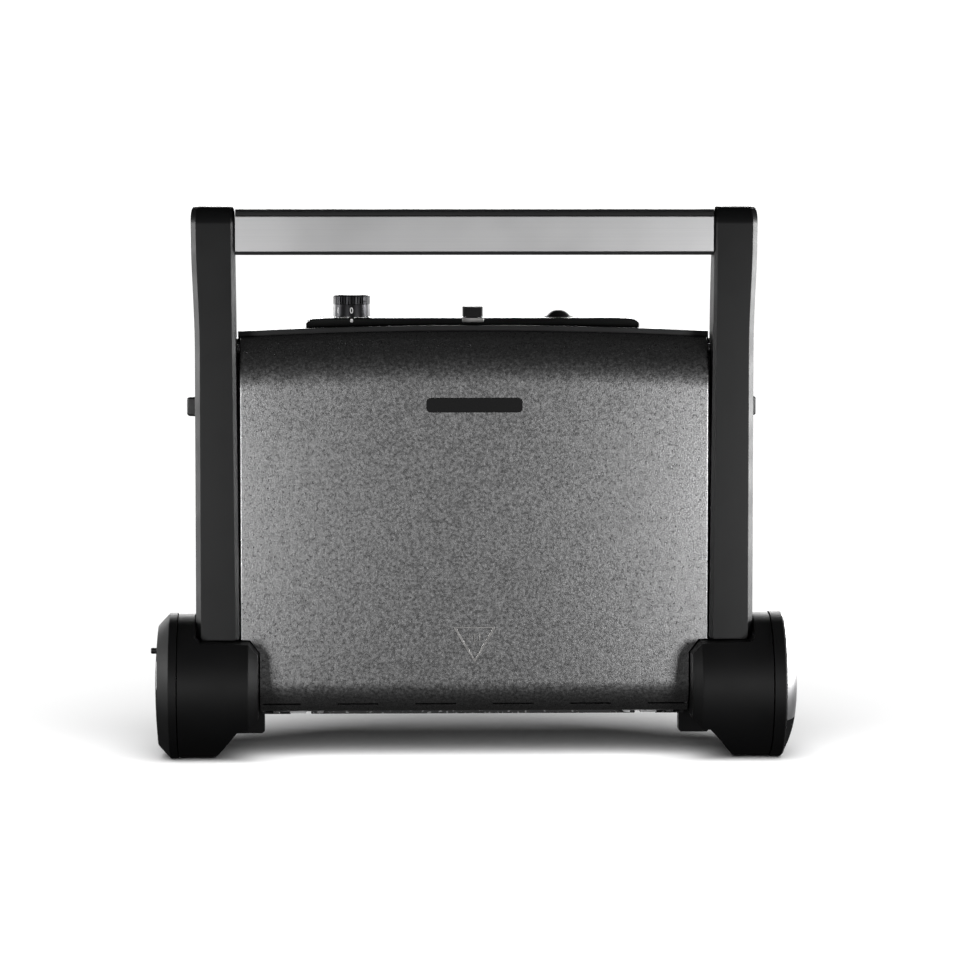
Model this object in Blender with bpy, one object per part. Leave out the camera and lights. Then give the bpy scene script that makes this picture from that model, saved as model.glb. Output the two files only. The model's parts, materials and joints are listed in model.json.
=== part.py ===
"""Contact grill standing upright on its two hinge drums, lid towards -Y, handle on top.

Lengths are written in millimetres in the hinge frame (origin on the hinge axis, X along it,
Y from the lid towards the base, Z up along the closed arms) and scaled to metres by MM.
"""
import math

import bmesh
import bpy
from mathutils import Matrix, Vector

MM = 0.001
GAP = 0.3                    # clearance between touching pieces

# Stance: the hinge axis above the floor and behind the middle of the whole grill
HINGE_Z = 47.5
HINGE_Y = -10.5

# Hinge drums, measured outwards from the middle plane
DRUM_SEGMENTS = 40
DRUM_R = 48.0                # fixed end housing, flattened where it meets the floor
DRUM_WALL = 2.9
TURNING_R = 47.3
HUB_END_X = 142.3            # the hub's inner face
HUB_X = 148.5                # where its chamfer ends
SEAM_X = 194.7
WEB_X = (203.6, 206.4)       # outer face wall of the fixed housing, around the axle
# The left end is chamfered with a shallow cap, the right one is a full dome:
# rim and face stations with the face radius, then the cap's radius, top and curve
END_SHAPES = {
    "left": {"rim_x": 200.6, "face_x": 208.2, "face_r": 39.6, "cap_r": 37.0, "dome_x": 210.3, "curve": 2.0},
    "right": {"rim_x": 202.6, "face_x": 203.4, "face_r": 47.2, "cap_r": 46.2, "dome_x": 213.2, "curve": 2.8},
}
AXLE_R = 6.0
PIN_TIP_X = 213.4            # hinge release pin, on the left cap only
PIN_INNER_X = 205.0
PIN_R = 2.0
PIN_Z = 23.0

# Arms and handle
ARM_IN = (154.5, 157.0)      # inner face at the hub and at the top
ARM_OUT = (183.2, 184.2)     # outer face at the hub and at the top
ARM_BOTTOM = 31.8
ARM_TOP = 316.0
ARM_FRONT = -20.0
ARM_BACK = 8.0
ARM_DEEP_BACK = 14.0         # behind the lid pivot
ARM_TOP_R = 13.0
TANG_X = (167.0, 180.0)      # the tongue that locks an arm into its drum
TANG_Y = (-9.0, 7.0)
TANG_BOTTOM = 14.0
HANDLE_Z = (284.2, 314.2)
HANDLE_Y = (-18.0, 7.0)
TRIM_Z = (286.4, 309.8)

# Lid
LID_HALF = 154.0
LID_FRONT = -14.0
LID_BACK = 12.0
LID_TOP = 233.4
LID_ARCH = 3.8               # how far the top edge drops at the sides
LID_REAR = -17.5
LID_TOP_CURVE = 34.0
LID_REAR_CURVE = 12.5
LID_WALL = 1.6
FRAME_TOP_HALF = 155.5       # the frame widens upwards with the gap between the arms
FRAME_RISE = 3.8             # the black frame stands above the cover's top edge
HUB_NOTCH_X = 141.2          # the lid is narrower than this beside the hubs, below HUB_NOTCH_Z
HUB_NOTCH_Z = 32.5
VENT_PITCH = 51.2
PIVOT_Y = 6.0
PIVOT_Z = 222.0
PIVOT_R = 3.5
MATING_Y = 24.0

# Base
BASE_HALF = 176.0
BASE_TOP = 27.0
BASE_REAR_TOP = 48.5
BASE_BOTTOM = 61.0
BASE_REAR = -20.0
BASE_FRONT = 228.0
BASE_WALL = 2.5
COVER_BOTTOM = 64.0
FOOT_BOTTOM = 69.0
PANEL_HALF = 111.0
PANEL_Y = (26.6, 57.0)
PANEL_TOP = 241.7
KNOB_X = -80.5
BUTTON_X = 57.5
CONTROL_Y = 42.0
TAB_Y = 47.0
TAB_Z = 182.0
TAB_TIP = 190.6
SCREW_SPOTS = [(x, z) for x in (-168.5, 168.5) for z in (64.0, 215.0)]
SIDES = (("left", -1), ("right", 1))

# Where each moving body turns or slides from, in the hinge frame
BODY_ORIGINS = {
    "base": (0, 0, 0),
    "arms": (0, 0, 0),
    "lid": (0, PIVOT_Y, PIVOT_Z),
    "knob": (KNOB_X, CONTROL_Y, PANEL_TOP),
    "button": (BUTTON_X, CONTROL_Y, PANEL_TOP),
    "latch": (0, 34, PANEL_TOP),
    "release_left": (-BASE_HALF, TAB_Y, TAB_Z),
    "release_right": (BASE_HALF, TAB_Y, TAB_Z),
    "hinge_pin": (-WEB_X[1], 0, PIN_Z),
    "tray": (0, 55, BASE_REAR),
}

# colour, roughness, metallic
FINISHES = {
    "satin_black": ((0.030, 0.030, 0.032), 0.42, 0.0),
    "gloss_black": ((0.012, 0.012, 0.013), 0.12, 0.0),
    "rubber": ((0.020, 0.020, 0.020), 0.85, 0.0),
    "lid_grey": ((0.27, 0.27, 0.275), 0.40, 0.80),
    "aluminium": ((0.62, 0.62, 0.63), 0.30, 1.0),
    "steel": ((0.55, 0.55, 0.56), 0.25, 1.0),
    "nonstick": ((0.045, 0.045, 0.047), 0.50, 0.3),
    "white": ((0.80, 0.80, 0.80), 0.50, 0.0),
    "ceramic": ((0.70, 0.66, 0.58), 0.60, 0.0),
}

empties = {}


def clear_scene():
    for obj in list(bpy.data.objects):
        bpy.data.objects.remove(obj, do_unlink=True)


def make_empties():
    for body, origin in BODY_ORIGINS.items():
        empty = bpy.data.objects.new(body + "_origin", None)
        bpy.context.scene.collection.objects.link(empty)
        empty.location = (Vector(origin) + Vector((0, HINGE_Y, HINGE_Z))) * MM
        empties[body] = empty
    bpy.context.view_layer.update()


def solid(name, verts, faces):
    """A mesh object in hinge-frame millimetres, with its faces made to point out."""
    mesh = bpy.data.meshes.new(name)
    mesh.from_pydata([tuple(v) for v in verts], [], faces)
    work = bmesh.new()
    work.from_mesh(mesh)
    bmesh.ops.remove_doubles(work, verts=work.verts, dist=1e-5)
    bmesh.ops.recalc_face_normals(work, faces=work.faces)
    if work.calc_volume(signed=True) < 0:
        bmesh.ops.reverse_faces(work, faces=work.faces)
    work.to_mesh(mesh)
    work.free()
    obj = bpy.data.objects.new(name, mesh)
    bpy.context.scene.collection.objects.link(obj)
    return obj


def loft(name, rings):
    """Join rings with the same number of points and close both ends."""
    count = len(rings[0])
    verts = [point for ring in rings for point in ring]
    faces = [list(range(count)), [(len(rings) - 1) * count + i for i in range(count)]]
    for row in range(len(rings) - 1):
        for i in range(count):
            j = (i + 1) % count
            a, b = row * count, (row + 1) * count
            faces.append([a + i, a + j, b + j, b + i])
    return solid(name, verts, faces)


def prism(name, outline, low, high, axis):
    """Extrude an outline given in the other two axes, in X, Y, Z order."""
    def lift(point, height):
        values = list(point)
        values.insert("XYZ".index(axis), height)
        return values
    return loft(name, [[lift(p, low) for p in outline], [lift(p, high) for p in outline]])


def block(name, x, y, z, chamfer=0.0, axis="Z"):
    """A box from three ranges, its edges along axis chamfered."""
    spans = {"X": (y, z), "Y": (x, z), "Z": (x, y)}[axis]
    low, high = sorted({"X": x, "Y": y, "Z": z}[axis])
    return prism(name, octagon(*spans, [chamfer] * 4) if chamfer else rectangle(*spans), low, high, axis)


def rectangle(a, b):
    return [(a[0], b[0]), (a[1], b[0]), (a[1], b[1]), (a[0], b[1])]


def octagon(a, b, cuts):
    """A rectangle with its four corners cut, starting at its low-low corner."""
    (a0, a1), (b0, b1) = sorted(a), sorted(b)
    c0, c1, c2, c3 = cuts
    return [(a0 + c0, b0), (a1 - c1, b0), (a1, b0 + c1), (a1, b1 - c2),
            (a1 - c2, b1), (a0 + c3, b1), (a0, b1 - c3), (a0, b0 + c0)]


def arc(centre, radii, start, stop, steps):
    """Points on an ellipse between two angles in degrees."""
    angles = [math.radians(start + (stop - start) * i / steps) for i in range(steps + 1)]
    return [(centre[0] + radii[0] * math.cos(a), centre[1] + radii[1] * math.sin(a)) for a in angles]


def revolve(name, profile, axis, centre=(0, 0, 0), segments=32):
    """Turn an (along, radius) profile about an axis; radius 0 closes it at a pole."""
    verts, rings = [], []
    for along, radius in profile:
        if radius == 0:
            rings.append([len(verts)])
            verts.append((along, 0.0, 0.0))
        else:
            rings.append(list(range(len(verts), len(verts) + segments)))
            for i in range(segments):
                turn = 2 * math.pi * (i + 0.5) / segments
                verts.append((along, radius * math.cos(turn), radius * math.sin(turn)))
    closed = profile[0][1] != 0
    faces = []
    for row in range(len(rings) - (0 if closed else 1)):
        a, b = rings[row], rings[(row + 1) % len(rings)]
        for i in range(segments):
            j = (i + 1) % segments
            corners = [a[i % len(a)], a[j % len(a)], b[j % len(b)], b[i % len(b)]]
            faces.append(list(dict.fromkeys(corners)))
    order = {"X": (0, 1, 2), "Y": (1, 0, 2), "Z": (1, 2, 0)}[axis]
    placed = [Vector([v[order[k]] for k in range(3)]) + Vector(centre) for v in verts]
    return solid(name, placed, faces)


def rod(name, radius, low, high, axis, centre=(0, 0, 0), segments=24):
    return revolve(name, [(low, 0), (low, radius), (high, radius), (high, 0)], axis, centre, segments)


def combine(obj, others, operation):
    """Apply exact booleans with one or more helpers, then drop the helpers."""
    for other in others if isinstance(others, (list, tuple)) else [others]:
        modifier = obj.modifiers.new(operation.lower(), "BOOLEAN")
        modifier.operation = operation
        modifier.solver = "EXACT"
        modifier.object = other
        bpy.context.view_layer.update()
        result = bpy.data.meshes.new_from_object(obj.evaluated_get(bpy.context.evaluated_depsgraph_get()))
        obj.modifiers.clear()
        obj.data = result
        bpy.data.objects.remove(other, do_unlink=True)
    return obj


def cut(obj, others):
    return combine(obj, others, "DIFFERENCE")


def join(obj, others):
    return combine(obj, others, "UNION")


def finish(obj, body, look):
    """Scale to metres about the body's origin, parent it there and give it its own material."""
    mesh = obj.data
    mesh.transform(Matrix.Scale(MM, 4) @ Matrix.Translation(-Vector(BODY_ORIGINS[body])))
    obj.parent = empties[body]
    mesh.shade_smooth()
    mesh.set_sharp_from_angle(angle=math.radians(32))
    colour, roughness, metallic = FINISHES[look]
    material = bpy.data.materials.new(obj.name + "_" + look)
    material.use_nodes = True
    shader = material.node_tree.nodes["Principled BSDF"]
    shader.inputs["Base Color"].default_value = (*colour, 1.0)
    shader.inputs["Roughness"].default_value = roughness
    shader.inputs["Metallic"].default_value = metallic
    mesh.materials.clear()
    mesh.materials.append(material)
    return obj


# ---------------------------------------------------------------- base

def base_housing():
    profile = [(BASE_BOTTOM, BASE_REAR), (BASE_REAR_TOP, BASE_REAR), (BASE_REAR_TOP, 20), (BASE_TOP, 41),
               (BASE_TOP, BASE_FRONT - 3), (BASE_TOP + 3, BASE_FRONT), (BASE_BOTTOM, BASE_FRONT)]
    w = BASE_WALL
    hollow = [(BASE_BOTTOM + 1, BASE_REAR + w), (BASE_REAR_TOP + w, BASE_REAR + w), (BASE_REAR_TOP + w, 21),
              (BASE_TOP + w, 42.3), (BASE_TOP + w, BASE_FRONT - w), (BASE_BOTTOM + 1, BASE_FRONT - w)]
    half = BASE_HALF
    rings = [[(x, y, z) for y, z in profile] for x in (-half, half)]
    shell = loft("base_housing", rings)
    bevel = shell.modifiers.new("corners", "BEVEL")
    bevel.width = 2.0
    bevel.segments = 1
    bevel.limit_method = "ANGLE"
    bpy.context.view_layer.update()
    shell.data = bpy.data.meshes.new_from_object(
        shell.evaluated_get(bpy.context.evaluated_depsgraph_get()))
    shell.modifiers.clear()
    cut(shell, prism("hollow", hollow, w - half, half - w, "X"))
    for side, sign in SIDES:
        tower = block("tower", (sign * 139.5, sign * 160), (BASE_REAR_TOP, BASE_BOTTOM), (-38.5, 30), 1.5, "Y")
        side_x = SEAM_X + GAP
        outline = [(157, 36), (side_x, 36), (side_x, -44.7), (168, -44.7), (157, -33)]
        cheek = prism("cheek", [(sign * x, z) for x, z in outline], 50.5, BASE_BOTTOM, "Y")
        join(shell, [tower, cheek])
    for x, z in SCREW_SPOTS:
        join(shell, rod("boss", 6.2, 46.0, BASE_BOTTOM - 0.2, "Y", (x, 0, z), 16))
        cut(shell, rod("bore", 2.3, 50.0, BASE_BOTTOM + 1, "Y", (x, 0, z), 12))
    openings = [block("plate_well", (-144.5, 144.5), (20, 30), (42.5, 223)),
                block("tray_slot", (-62.5, 62.5), (51.4, 59.2), (-30, -10)),
                rod("gland_hole", 4.8, -30, -10, "Z", (105, 55.0, 0), 16),
                rod("shaft_hole", 4.0, 220, 232, "Z", (KNOB_X, CONTROL_Y, 0), 16)]
    for side, sign in SIDES:
        openings.append(block("tab_hole", (sign * 160, sign * 190), (TAB_Y - 4.6, TAB_Y + 4.6),
                              (TAB_Z - 7.4, TAB_Z + 7.4)))
    cut(shell, openings)
    finish(shell, "base", "satin_black")


def bottom_cover():
    cover = block("bottom_cover", (-172, 172), (BASE_BOTTOM + GAP, COVER_BOTTOM), (-17, 225), 6, "Y")
    slots = [block("slot", (x - 28, x + 28), (50, 70), (z - 1.6, z + 1.6))
             for x in (-75, 0, 75) for z in range(70, 151, 16)]
    holes = [rod("hole", 2.5, 50, 70, "Y", (x, 0, z), 12) for x, z in SCREW_SPOTS]
    cut(cover, slots + holes)
    finish(cover, "base", "satin_black")


def cover_screws():
    for number, (x, z) in enumerate(SCREW_SPOTS, 1):
        top = COVER_BOTTOM + GAP
        screw = revolve("cover_screw_%d" % number,
                        [(51, 0), (51, 1.9), (top, 1.9), (top, 4.0), (top + 1.4, 3.6), (top + 1.4, 0)],
                        "Y", (x, 0, z), 16)
        finish(screw, "base", "steel")


def rubber_feet():
    top = COVER_BOTTOM + GAP
    for row, z in (("rear", 8.0), ("front", 196.0)):
        for side, sign in SIDES:
            foot = revolve("foot_%s_%s" % (row, side),
                           [(top, 0), (top, 9), (FOOT_BOTTOM - 1, 8.4), (FOOT_BOTTOM, 7.2), (FOOT_BOTTOM, 0)],
                           "Y", (sign * 140, 0, z), 24)
            finish(foot, "base", "rubber")
    for side, sign in SIDES:
        pad = block("stand_foot_" + side, (sign * 178.5, sign * 194), (51.5, 58.5), (-HINGE_Z, -45), 1.2)
        finish(pad, "base", "rubber")


def ribbed_plate(name, face, depth, z_range, half, direction):
    """A cast grill plate: a rim on the housing and a ribbed face, in its own plane."""
    rib_count, top, root = 19, face, face - direction * 3.0
    pitch = (2 * half - 14) / rib_count
    outline = [(-half, root)]
    for i in range(rib_count):
        x = -half + 7 + pitch * (i + 0.5)
        outline += [(x - 4.0, root), (x - 2.0, top), (x + 2.0, top), (x + 4.0, root)]
    outline += [(half, root), (half, face - direction * depth), (-half, face - direction * depth)]
    return prism(name, outline, z_range[0] + 6, z_range[1] - 6, "Z")


def lower_plate():
    plate = ribbed_plate("lower_plate", MATING_Y + 0.6, 8.0, (38.5, 227), 143.5, -1)
    rim_y = (MATING_Y + 0.6, BASE_TOP - GAP)
    rim = block("rim", (-148, 148), rim_y, (42, 226), 5, "Y")
    cut(rim, block("inside", (-141, 141), (20, 40), (47, 219)))
    join(plate, rim)
    finish(plate, "base", "nonstick")


def element(name, y, z_range, body):
    """A sheathed heating element bent into a loop with two straight cold ends."""
    low, high = z_range
    reach, inner, bend = 105.0, 18.0, 30.0
    path = [(-inner, low)] + arc((-reach + bend, low + bend), (bend, bend), 270, 180, 5)
    path += arc((-reach + bend, high - bend), (bend, bend), 180, 90, 5)
    path += arc((reach - bend, high - bend), (bend, bend), 90, 0, 5)
    path += arc((reach - bend, low + bend), (bend, bend), 0, -90, 5) + [(inner, low)]
    curve = bpy.data.curves.new(name, "CURVE")
    curve.dimensions = "3D"
    curve.bevel_depth = 3.2
    curve.bevel_resolution = 1
    curve.use_fill_caps = True
    spline = curve.splines.new("POLY")
    spline.points.add(len(path) - 1)
    for point, (x, z) in zip(spline.points, path):
        point.co = (x, y, z, 1)
    guide = bpy.data.objects.new(name + "_guide", curve)
    bpy.context.scene.collection.objects.link(guide)
    bpy.context.view_layer.update()
    mesh = bpy.data.meshes.new_from_object(guide.evaluated_get(bpy.context.evaluated_depsgraph_get()))
    bpy.data.objects.remove(guide, do_unlink=True)
    verts = [v.co.copy() for v in mesh.vertices]
    tube = solid(name, verts, [list(p.vertices) for p in mesh.polygons])
    finish(tube, body, "steel")


def reflector(name, y, z_range, depth, body):
    """A pressed sheet tray with turned-up edges."""
    tray = block(name, (-134, 134), (y, y + depth), z_range, 8, "Y")
    sheet = 0.8
    inner = (y + sheet, y + depth + 5) if depth > 0 else (y + depth - 5, y - sheet)
    cut(tray, block("pressing", (-133.2, 133.2), inner, (z_range[0] + sheet, z_range[1] - sheet), 7.5, "Y"))
    finish(tray, body, "steel")


def thermostat():
    body = block("thermostat", (KNOB_X - 17, KNOB_X + 17), (35.5, 52), (204, 218), 2, "Z")
    join(body, rod("neck", 5.0, 217, 222, "Z", (KNOB_X, CONTROL_Y, 0), 16))
    cut(body, rod("socket", 3.3, 212, 230, "Z", (KNOB_X, CONTROL_Y, 0), 16))
    finish(body, "base", "ceramic")


def control_panel():
    y0, y1 = PANEL_Y
    low = BASE_FRONT + GAP
    wide = [(-PANEL_HALF, low), (PANEL_HALF, low), (PANEL_HALF, 235.5)]
    wide += arc((PANEL_HALF - 6, 235.7), (6, 6), 0, 90, 4) + arc((6 - PANEL_HALF, 235.7), (6, 6), 90, 180, 4)
    wide += [(-PANEL_HALF, 235.5)]
    panel = prism("control_panel", list(dict.fromkeys(wide)), y0, y1, "Y")
    cut(panel, [block("inside", (3 - PANEL_HALF, PANEL_HALF - 3), (y0 + 2.5, y1 - 2.5), (220, 237)),
                rod("shaft_hole", 3.7, 230, 250, "Z", (KNOB_X, CONTROL_Y, 0), 16),
                rod("button_hole", 3.6, 230, 250, "Z", (BUTTON_X, CONTROL_Y, 0), 16),
                rod("button_recess", 8.9, PANEL_TOP - 2.2, 250, "Z", (BUTTON_X, CONTROL_Y, 0), 24),
                block("latch_slot", (-3.4, 3.4), (29.6, 38.4), (230, 250))])
    finish(panel, "base", "gloss_black")


def knob():
    low = PANEL_TOP + 0.5
    cap = revolve("temperature_knob",
                  [(low, 3.2), (low, 12.4), (low + 9, 12.0), (low + 9.4, 12.3), (low + 13.6, 12.1),
                   (low + 14.6, 11.2), (low + 14.6, 0), (low + 9, 0), (low + 9, 3.2)],
                  "Z", (KNOB_X, CONTROL_Y, 0), 28)
    finish(cap, "knob", "gloss_black")
    shaft = rod("knob_shaft", 2.9, 213, low + 8.7, "Z", (KNOB_X, CONTROL_Y, 0), 16)
    finish(shaft, "knob", "steel")
    marker = block("dial_marker", (KNOB_X - 1.4, KNOB_X + 1.4), (PANEL_Y[0] - 0.8, PANEL_Y[0] - GAP),
                   (238.6, 241.2), 0.7, "Y")
    finish(marker, "base", "white")


def power_button():
    low = PANEL_TOP - 0.4
    dome = [(low, 2.9), (low, 8.3), (low + 3.2, 8.1), (low + 4.8, 6.6), (low + 5.8, 3.6), (low + 6.1, 0)]
    stem = [(PANEL_TOP - 7, 0), (PANEL_TOP - 7, 2.9)]
    button = revolve("power_button", stem + dome, "Z", (BUTTON_X, CONTROL_Y, 0), 28)
    finish(button, "button", "gloss_black")
    switch = block("power_switch", (BUTTON_X - 8, BUTTON_X + 8), (36, 48), (228.6, 232.8), 1, "Z")
    finish(switch, "base", "satin_black")


def storage_latch():
    slider = block("storage_latch", (-6.6, 6.6), (27.6, 41), (PANEL_TOP + 0.4, 249), 1, "Z")
    join(slider, block("stem", (-3, 3), (35, 38), (234, 244)))
    finish(slider, "latch", "satin_black")
    strip = block("latch_strip", (-7.2, 7.2), (PANEL_Y[0] - 1.1, PANEL_Y[0] - GAP), (238.7, 241.7), 0.4, "Y")
    finish(strip, "base", "steel")


def coil(name, centre, radius, wire, length, turns, sign):
    """A compression spring along X as one closed tube."""
    per_turn, sides = 8, 4
    steps = turns * per_turn
    rings = []
    for i in range(steps + 1):
        turn = 2 * math.pi * i / per_turn
        along = sign * length * i / steps
        ring = []
        for k in range(sides):
            lean = 2 * math.pi * k / sides
            out = radius + wire * math.cos(lean)
            ring.append((centre[0] + along + wire * math.sin(lean), centre[1] + out * math.cos(turn),
                         centre[2] + out * math.sin(turn)))
        rings.append(ring)
    return loft(name, rings)


def plate_releases():
    for side, sign in SIDES:
        body = "release_" + side
        rings = []
        for x, grow in ((172.0, 0.5), (TAB_TIP - 1.5, 0), (TAB_TIP, -1.2)):
            outline = octagon((TAB_Y - 3.8 - grow, TAB_Y + 3.8 + grow),
                              (TAB_Z - 6.4 - grow, TAB_Z + 6.4 + grow), [1] * 4)
            rings.append([(sign * x, y, z) for y, z in outline])
        tab = loft("plate_release_" + side, rings)
        join(tab, block("flange", (sign * 169, sign * 173), (TAB_Y - 6.5, TAB_Y + 6.5), (TAB_Z - 9, TAB_Z + 9)))
        finish(tab, body, "satin_black")
        spring = coil("release_spring_" + side, (sign * 167.6, TAB_Y, TAB_Z), 4.2, 0.6, 16, 3, -sign)
        finish(spring, body, "steel")


def drip_tray():
    tray = block("drip_tray", (-62, 62), (51.8, 58.8), (BASE_REAR - 1.5, 34), 1.5, "Y")
    cut(tray, block("bowl", (-59, 59), (40, 57.4), (BASE_REAR + 2.5, 32)))
    finish(tray, "tray", "satin_black")


def cable_gland():
    rear = BASE_REAR - GAP
    gland = revolve("cable_gland",
                    [(BASE_REAR + 3, 3.6), (BASE_REAR + 3, 4.4), (rear, 4.4), (rear, 5.6), (rear - 1.5, 5.6),
                     (rear - 4.5, 5.0), (rear - 4.5, 3.6)], "Z", (105, 55.0, 0), 20)
    finish(gland, "base", "rubber")


# ---------------------------------------------------------------- hinge

def hinge_housing(side, sign):
    """The end piece fixed to the base: a hollow disc with a bracket down to the base's corner."""
    end, start = END_SHAPES[side], SEAM_X + 0.6
    bore, wall = AXLE_R + 0.4, 3.0
    ring = [(start, DRUM_R - 1), (start + 1, DRUM_R), (end["rim_x"], DRUM_R), (end["face_x"], end["face_r"]),
            (end["face_x"], end["cap_r"] + GAP), (end["face_x"] - 2, end["cap_r"] + GAP)]
    web = min(end["face_x"] - 2, WEB_X[1])
    ring += [(web, bore), (start + 2, bore), (start + 2, 12), (web - wall, 12),
             (web - wall, 34), (end["rim_x"] - wall, 45), (start, 45)]
    housing = revolve("hinge_housing_" + side, [(sign * x, r) for x, r in ring], "X", segments=DRUM_SEGMENTS)
    bracket = block("bracket", (sign * (start + 0.6), sign * (web - 0.6)), (43, BASE_BOTTOM), (-29, 29), 2, "Y")
    join(housing, bracket)
    cut(housing, block("floor", (sign * 190, sign * 215), (-30, 30), (-60, -HINGE_Z)))
    if side == "left":
        cut(housing, rod("pin_hole", PIN_R + 0.4, -209, -200, "X", (0, 0, PIN_Z), 12))
    finish(housing, "base", "satin_black")
    axle = rod("hinge_axle_" + side, AXLE_R, sign * 146, sign * (web - GAP), "X")
    finish(axle, "base", "steel")
    return web


def end_cap(side, sign, web):
    """The cap over the housing's open face, domed by a power of its radius."""
    end = END_SHAPES[side]
    edge_r = end["cap_r"]
    back = web + GAP
    edge_x = end["face_x"] + 0.3
    rise = end["dome_x"] - edge_x
    cap = [(back, 0), (back, edge_r)]
    cap += [(edge_x + rise * (1 - (r / edge_r) ** end["curve"]), r)
            for r in [edge_r * k for k in (1.0, 0.93, 0.82, 0.66, 0.45, 0.22)]]
    cap.append((end["dome_x"], 0))
    dome = revolve("end_cap_" + side, [(sign * x, r) for x, r in cap], "X", segments=DRUM_SEGMENTS)
    if side == "left":
        cut(dome, rod("pin_hole", PIN_R + 0.4, -220, -200, "X", (0, 0, PIN_Z), 12))
    finish(dome, "base", "steel" if side == "right" else "gloss_black")


def drum_cutters(sign, inset):
    """What is taken off a drum above and below its outline, as seen from the front.

    The outline runs along the hub's chamfered end and the flat under the arm, and below along
    a slope down to the disc. The inset moves it inwards, for the hollow.
    """
    flat_z, side_x = ARM_BOTTOM - GAP - inset, ARM_OUT[0] + 0.7 + inset
    above = [(HUB_END_X - 2.3, 20.3 - inset), (HUB_X, 30.4 - inset), (side_x - 3.3, flat_z),
             (side_x, flat_z + 3.3), (side_x, 60), (HUB_END_X - 2.3, 60)]
    below = [(HUB_END_X - 2.3, inset - 16.7), (HUB_X, inset - 25.3), (155.2, inset - 26.0),
             (172.0, inset - 48.2), (172.0, -60), (HUB_END_X - 2.3, -60)]
    return [prism("cutter", [(sign * x, z) for x, z in outline], -60, 60, "Y") for outline in (above, below)]


def hinge_drum(side, sign):
    """The turning part of the drum, hollow and open to the seam, with a socket for its arm."""
    bore = AXLE_R + GAP + 0.1
    drum = [(HUB_END_X, 0), (HUB_END_X, TURNING_R - 6.3), (HUB_X, TURNING_R), (SEAM_X - 0.6, TURNING_R),
            (SEAM_X, TURNING_R - 0.6), (SEAM_X, bore), (145.5, bore), (145.5, 0)]
    turning = revolve("hinge_drum_" + side, [(sign * x, r) for x, r in drum], "X", segments=DRUM_SEGMENTS)
    inside = [(HUB_X + 3, 10), (HUB_X + 3, TURNING_R - DRUM_WALL), (SEAM_X + 2, TURNING_R - DRUM_WALL),
              (SEAM_X + 2, 10)]
    hollow = revolve("hollow", [(sign * x, r) for x, r in inside], "X", segments=DRUM_SEGMENTS)
    cut(hollow, drum_cutters(sign, DRUM_WALL))
    cut(turning, drum_cutters(sign, 0) + [hollow])
    cut(turning, block("socket", (sign * (TANG_X[0] - GAP), sign * (TANG_X[1] + GAP)),
                       (TANG_Y[0] - GAP, TANG_Y[1] + GAP), (TANG_BOTTOM - 4, 60)))
    finish(turning, "arms", "satin_black")


def hinges():
    for side, sign in SIDES:
        web = hinge_housing(side, sign)
        end_cap(side, sign, web)
        hinge_drum(side, sign)
    pin = revolve("hinge_release_pin",
                  [(-PIN_TIP_X, 0), (-PIN_TIP_X, PIN_R - 0.4), (-PIN_TIP_X + 0.5, PIN_R),
                   (-PIN_INNER_X, PIN_R), (-PIN_INNER_X, 0)], "X", (0, 0, PIN_Z), 16)
    finish(pin, "hinge_pin", "satin_black")


# ---------------------------------------------------------------- arms and handle

def arm_ring(sign, z, front, back, shrink=0.0):
    """One level of an arm: outer corners chamfered more than inner ones."""
    rise = (z - ARM_BOTTOM) / (ARM_TOP - ARM_BOTTOM)
    inner = ARM_IN[0] + (ARM_IN[1] - ARM_IN[0]) * rise
    outer = ARM_OUT[0] + (ARM_OUT[1] - ARM_OUT[0]) * rise - shrink
    points = octagon((inner + shrink * 0.4, outer), (front, back), [2.0, 3.3, 2.0, 1.5])
    return [(sign * x, y, z) for x, y in points]


def arms():
    for side, sign in SIDES:
        tang = octagon(TANG_X, TANG_Y, [1.5] * 4)
        rings = [[(sign * x, y, z) for x, y in tang] for z in (TANG_BOTTOM, ARM_BOTTOM)]
        rings += [arm_ring(sign, ARM_BOTTOM, ARM_FRONT, ARM_BACK, 3.0)]
        rings += [arm_ring(sign, z, ARM_FRONT, back) for z, back in
                  ((ARM_BOTTOM + 3, ARM_BACK), (170.0, ARM_BACK), (195.0, ARM_DEEP_BACK),
                   (262.0, ARM_DEEP_BACK), (285.0, ARM_BACK))]
        for step in range(6):
            turn = math.radians(90 * step / 5)
            pull = ARM_TOP_R * (1 - math.cos(turn))
            z = ARM_TOP - ARM_TOP_R * (1 - math.sin(turn))
            rings.append(arm_ring(sign, z, ARM_FRONT + pull, ARM_BACK - pull * 0.8, 3.0 * (step / 5) ** 4))
        arm = loft("arm_" + side, rings)
        cut(arm, rod("pivot_hole", PIVOT_R + GAP, sign * 150, sign * 163, "X", (0, PIVOT_Y, PIVOT_Z), 20))
        finish(arm, "arms", "satin_black")
        pin = rod("pivot_pin_" + side, PIVOT_R, sign * 148.5, sign * 162.5, "X", (0, PIVOT_Y, PIVOT_Z), 20)
        finish(pin, "arms", "steel")


def handle():
    end = 156.3
    core = block("handle_core", (-end, end), HANDLE_Y, HANDLE_Z, 4.0, "X")
    seat_z = (TRIM_Z[0] - GAP, TRIM_Z[1] + GAP)
    cut(core, block("trim_seat", (-end - 1, end + 1), (-30, HANDLE_Y[0] + 1.6), seat_z))
    finish(core, "arms", "satin_black")
    trim = block("handle_trim", (-end, end), (HANDLE_Y[0] - 0.6, HANDLE_Y[0] + 1.3), TRIM_Z, 0.9, "X")
    finish(trim, "arms", "aluminium")


# ---------------------------------------------------------------- lid

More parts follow.
